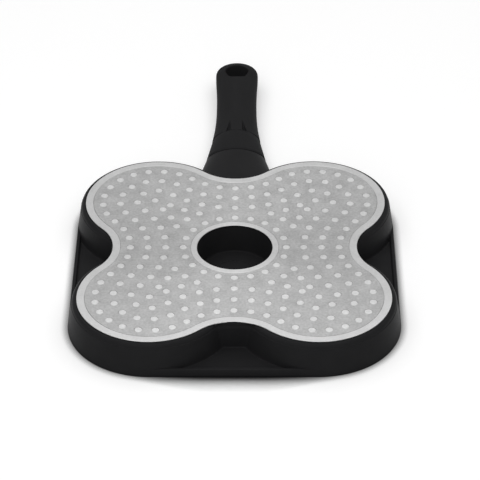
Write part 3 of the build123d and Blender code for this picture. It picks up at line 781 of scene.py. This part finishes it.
def strip(turn, outer, inner):
    """A flat machined strip between two lines, closed underneath, with its upper edges broken."""
    rows = [
        profile_point(turn, outer, PAN_HEIGHT - BAND_THICKNESS),
        profile_point(turn, outer, PAN_HEIGHT - BAND_EDGE),
        profile_point(turn, outer - BAND_EDGE, PAN_HEIGHT),
        profile_point(turn, inner + BAND_EDGE, PAN_HEIGHT),
        profile_point(turn, inner, PAN_HEIGHT - BAND_EDGE),
        profile_point(turn, inner, PAN_HEIGHT - BAND_THICKNESS),
    ]
    rows = np.stack(rows)
    return np.concatenate([rows[..., :1] * heading(turn), rows[..., 1:]], -1)


def row_of_studs(inset, count):
    """Even steps along one quarter of a line that follows the face's edge, inset from it.

    The line is half a notch arc, a lobe arc and half a notch arc again, each read from its run.
    """
    lobe, notch = FACE_RADIUS - inset, NOTCH_FACE_RADIUS + inset
    turn = np.arctan2(HALF_PITCH, NOTCH_MIDDLE - HALF_PITCH)
    notch_run = notch * turn
    total = 2 * notch_run + lobe * (pi / 2 + 2 * turn)
    run = total * np.arange(count) / count
    first = heading(run / notch)
    last = heading((total - run) / notch)
    bend = heading(pi / 2 + turn - (run - notch_run) / lobe)
    on_first = np.stack([notch * first[:, 1], NOTCH_MIDDLE - notch * first[:, 0]], -1)
    on_last = np.stack([NOTCH_MIDDLE - notch * last[:, 0], notch * last[:, 1]], -1)
    later = np.where((run < total - notch_run)[:, None], HALF_PITCH + lobe * bend, on_last)
    return np.where((run < notch_run)[:, None], on_first, later)


def stud_places():
    """Every stud: rows along the face's edge, short arcs inside them, the diagonals, and a ring."""
    arc = heading(np.radians(ARC_STUD_ANGLES))
    radius = NOTCH_FACE_RADIUS + ARC_STUD_INSET
    beside = np.stack([radius * arc[:, 1], NOTCH_MIDDLE - radius * arc[:, 0]], -1)
    ring_radius = RECESS_MOUTH + PLATE_RING + RING_STUD_INSET
    out = [ring_radius + DIAGONAL_STUD_INSET, HALF_PITCH / sin(pi / 4) + DIAGONAL_STUD_OUT]
    diagonal = np.array(out) * sin(pi / 4)
    quarter = [beside, beside[:, ::-1], np.stack([diagonal, diagonal], -1)]
    quarter += [row_of_studs(number * ROW_SPACING, count) for number, count in enumerate(ROW_COUNTS, start=1)]
    quarter = np.concatenate(quarter)
    quarter = np.concatenate([quarter, np.zeros((len(quarter), 1))], -1)
    flat = np.concatenate([turned(quarter, turns)[:, :2] for turns in range(4)])
    return np.concatenate([flat, ring_radius * heading(2 * pi * np.arange(RING_STUDS) / RING_STUDS)])


def studs():
    """Round studs with a broken edge, each a closed grid of rings from pole to pole."""
    bend = heading(2 * pi * np.arange(18) / 18)
    radii = np.array([0, STUD_RADIUS, STUD_RADIUS, STUD_RADIUS - STUD_EDGE, 0])[:, None, None]
    heights = PAN_HEIGHT - np.array([STUD_FOOT, STUD_FOOT, STUD_EDGE, 0, 0])[:, None, None]
    one = np.concatenate([radii * bend, heights + 0 * bend[None, :, :1]], -1)
    return [one + np.append(place, 0.0) for place in stud_places()]


def dial():
    """A plain ring and twelve ticks, raised on the recess floor: half ovals carried round and along."""
    turn = 2 * pi * np.arange(96) / 96
    rise = np.radians([0, 30, 60, 90, 120, 150, 180])
    foot, sink = np.array([0.0, 0.0, WEB_HEIGHT]), np.array([0.0, 0.0, DIAL_SINK])
    reach = DIAL_RADIUS - DIAL_LINE / 2 + DIAL_LINE / 2 * np.cos(rise)
    height = (DIAL_RAISE + DIAL_SINK) * np.sin(rise)
    flat = reach[:, None, None] * heading(turn)
    grids = [np.concatenate([flat, height[:, None, None] + 0 * flat[..., :1]], -1) + foot - sink]
    outline = heading(2 * pi * np.arange(16) / 16)
    outline = np.sign(outline) * np.abs(outline) ** 0.4 * np.array([TICK_HALF_LENGTH, DIAL_LINE / 2])
    sizes = np.array([0, 1, 1, 0.8, 0])[:, None, None]
    lifts = np.array([-DIAL_SINK, -DIAL_SINK, DIAL_RAISE - TICK_EDGE, DIAL_RAISE, DIAL_RAISE])[:, None, None]
    tick = np.concatenate([sizes * outline, lifts + 0 * outline[None, :, :1]], -1)
    for angle in 2 * pi * np.arange(DIAL_TICKS) / DIAL_TICKS:
        x, y = tick[..., 0] + DIAL_RADIUS - TICK_HALF_LENGTH, tick[..., 1]
        across, along = x * cos(angle) - y * sin(angle), x * sin(angle) + y * cos(angle)
        swung = np.stack([across, along, tick[..., 2]], -1)
        grids.append(swung + foot)
    return grids


coating, phenolic, rubber = sprayed_ptfe(), moulded_phenolic(), cut_silicone()
faced_aluminium = faced_metal("faced_aluminium", "#cbcbcb", "#d4d4d4", 0.34, 0.42, 0.8)
pressed_aluminium = faced_metal("pressed_aluminium", "#cfcfcf", "#dedede", 0.38, 0.46, 0.8)
faced_stainless = faced_metal("faced_stainless", "#a9a9a9", "#c1c1c1", 0.36, 0.46, 1.0)

turn = directions(AROUND, 0.6)
outside = base_side(turn)
quarter_edge = outside[-1, : AROUND // 4 + 1, :2]
cup = cook_side(quarter_edge)
casting_grids = [(outside, False)] + [(turned(cup, quarters), False) for quarters in range(4)]
casting_grids.append((lug(), False))
piece("pan_casting", casting_grids, coating, ("pan_body",))

base_grids = [
    (strip(turn, reach_of_face(turn), reach_of_face(turn, -PLATE_MARGIN)), True),
    (strip(turn, RECESS_MOUTH + PLATE_RING, RECESS_MOUTH), True),
]
piece("faced_base", base_grids, faced_aluminium)
piece("pressed_studs", [(stud, False) for stud in studs()], pressed_aluminium)
piece("recess_dial", [(grid, index == 0) for index, grid in enumerate(dial())], coating)
piece("cut_gasket", [(gasket(), True)], rubber, ("heat_gasket",))
piece("moulded_collar", [(collar(), True)], phenolic, ("heat_collar",), sharp=50.0)
grip_grids = [(grip(), True), (spigot(), False)]
piece("moulded_grip", grip_grids, phenolic, ("handle_grip",), sharp=50.0)

steel, brass = zinc_plate(), turned_brass()
kept = {
    "induction_plate": faced_stainless,
    "threaded_insert": brass,
    "handle_screw": steel,
    "flat_washer": steel,
    "lock_washer": steel,
}
for name, material in kept.items():
    for part in [frame["nodes"][name], *frame["nodes"][name].children_recursive]:
        if part.type == "MESH":
            part.data.materials.clear()
            part.data.materials.append(material)


def background_rays(tree):
    """1 for rays that see the background white, from the camera, a gloss or a glass, and 0 for others."""
    paths = node(tree, "ShaderNodeLightPath")
    seen = paths.outputs["Is Camera Ray"]
    for kind in ("Is Glossy Ray", "Is Transmission Ray"):
        seen = node(tree, "ShaderNodeMath", {0: seen, 1: paths.outputs[kind]}, operation="MAXIMUM")
    return seen


# Floor: pale and matt. What the camera and the metal see of it is lifted a little, so that it is white
# outside the shadow.
# A painted contact shadow darkens it close to the object, over a wider band round the middle of the near
# side.
FLOOR_TONE, FLOOR_LIFT = 0.8, 0.3
NEAR_SIDE = (0.0, -0.15, 0.0)
NEAR_START, NEAR_END = 0.02, 0.09  # metres from there: where the wider band begins to fade, and has gone
SHADOW_WIDTHS, SHADOW_POWERS = (0.007, 0.02), (2.0, 8.0)
floor_material = bpy.data.materials.new("pale_card")
floor_material.use_nodes = True
tree = floor_material.node_tree
tree.nodes.clear()
seen = background_rays(tree)
lift = node(tree, "ShaderNodeMath", {0: seen, 1: FLOOR_LIFT}, operation="MULTIPLY")
spot = node(tree, "ShaderNodeTexCoord").outputs["Object"]
spot = node(tree, "ShaderNodeVectorMath", {0: spot, 1: NEAR_SIDE}, operation="DISTANCE").outputs["Value"]
fade = {"Value": spot, "From Min": NEAR_START, "From Max": NEAR_END, "To Min": 1.0, "To Max": 0.0}
near = node(tree, "ShaderNodeMapRange", fade, interpolation_type="SMOOTHSTEP")
widths = {"Value": near, "To Min": SHADOW_WIDTHS[0], "To Max": SHADOW_WIDTHS[1]}
powers = {"Value": near, "To Min": SHADOW_POWERS[0], "To Max": SHADOW_POWERS[1]}
reach = node(tree, "ShaderNodeMapRange", widths)
power = node(tree, "ShaderNodeMapRange", powers)
# painted contact shadow: ambient occlusion raised to a power darkens the floor's colour and its lift
painted_contact_shadow = node(tree, "ShaderNodeAmbientOcclusion", {"Distance": reach}, samples=16).outputs["AO"]
painted_contact_shadow = node(tree, "ShaderNodeMath", {0: painted_contact_shadow, 1: power}, operation="POWER")
lift = node(tree, "ShaderNodeMath", {0: lift, 1: painted_contact_shadow}, operation="MULTIPLY")
glow = node(tree, "ShaderNodeEmission", {"Strength": lift})
tone = node(tree, "ShaderNodeMath", {0: painted_contact_shadow, 1: FLOOR_TONE}, operation="MULTIPLY")
card = node(tree, "ShaderNodeBsdfDiffuse", {"Color": tone})
both = node(tree, "ShaderNodeAddShader", {0: card, 1: glow})
node(tree, "ShaderNodeOutputMaterial", {"Surface": both})
floor_mesh = bpy.data.meshes.new("floor")
floor_mesh.from_pydata([(-4, -4, 0), (4, -4, 0), (4, 4, 0), (-4, 4, 0)], [], [(0, 1, 2, 3)])
floor_mesh.materials.append(floor_material)
floor = bpy.data.objects.new("floor", floor_mesh)
bpy.context.scene.collection.objects.link(floor)
floor.location.z = -0.0002

# World: white where it is seen, dimmer overhead, and weaker as light
SKY_LIGHT, SKY_LOW, SKY_HIGH = 0.3, 1.0, 0.55
FADE_START, FADE_END = 0.3, 0.8  # rise of a direction: 0 level, 1 straight up
world = bpy.data.worlds.new("studio")
bpy.context.scene.world = world
world.use_nodes = True
tree = world.node_tree
tree.nodes.clear()
seen = background_rays(tree)
sky_place = node(tree, "ShaderNodeTexCoord").outputs["Generated"]
sky_place = node(tree, "ShaderNodeSeparateXYZ", {"Vector": sky_place})
fade = {
    "Value": sky_place.outputs["Z"],
    "From Min": FADE_START,
    "From Max": FADE_END,
    "To Min": SKY_LOW,
    "To Max": SKY_HIGH,
}
shown = node(tree, "ShaderNodeMapRange", fade)
strength = node(tree, "ShaderNodeMapRange", {"Value": seen, "To Min": SKY_LIGHT, "To Max": shown})
sky = node(tree, "ShaderNodeBackground", {"Strength": strength})
node(tree, "ShaderNodeOutputWorld", {"Surface": sky})


def soft_lamp(name, place, aim, size, power):
    """A square soft lamp at a place in metres, turned to a point."""
    light = bpy.data.lights.new(name, "AREA")
    light.shape = "SQUARE"
    light.size = size
    light.energy = power
    lamp = bpy.data.objects.new(name, light)
    bpy.context.scene.collection.objects.link(lamp)
    lamp.location = place
    lamp.rotation_euler = (Vector(aim) - Vector(place)).to_track_quat("-Z", "Y").to_euler()


soft_lamp("overhead", place=(0.0, 0.1, 1.6), aim=(0, 0, 0), size=2.7, power=27.0)
soft_lamp("front", place=(-0.35, -1.9, 1.25), aim=(0, 0, 0), size=2.3, power=15.0)

# Camera, as fitted to the photograph: it looks down by its dip and is turned and rolled a little, all in
# radians, and it stands far back, in metres, with a long lens, in millimetres
DIP, YAW, ROLL = 0.62381, -0.01113, 0.0071
FAR = 2.01733
LENS, SHIFT = 176.69, (0.01096, 0.01455)
ahead = Vector((sin(YAW), cos(YAW), 0))
across = Vector((cos(YAW), -sin(YAW), 0))
view = ahead * cos(DIP) - Vector((0, 0, sin(DIP)))
above = ahead * sin(DIP) + Vector((0, 0, cos(DIP)))
right = across * cos(ROLL) - above * sin(ROLL)
up = above * cos(ROLL) + across * sin(ROLL)
place = Vector((0, 0, PAN_HEIGHT * MM)) - view * FAR
lens = bpy.data.cameras.new("camera")
lens.sensor_width = 36.0
lens.lens = LENS
lens.shift_x, lens.shift_y = SHIFT
camera = bpy.data.objects.new("camera", lens)
camera.matrix_world = Matrix((right, up, -view)).transposed().to_4x4()
camera.location = place
bpy.context.scene.collection.objects.link(camera)
bpy.context.scene.camera = camera
bpy.context.scene.view_settings.view_transform = "Standard"
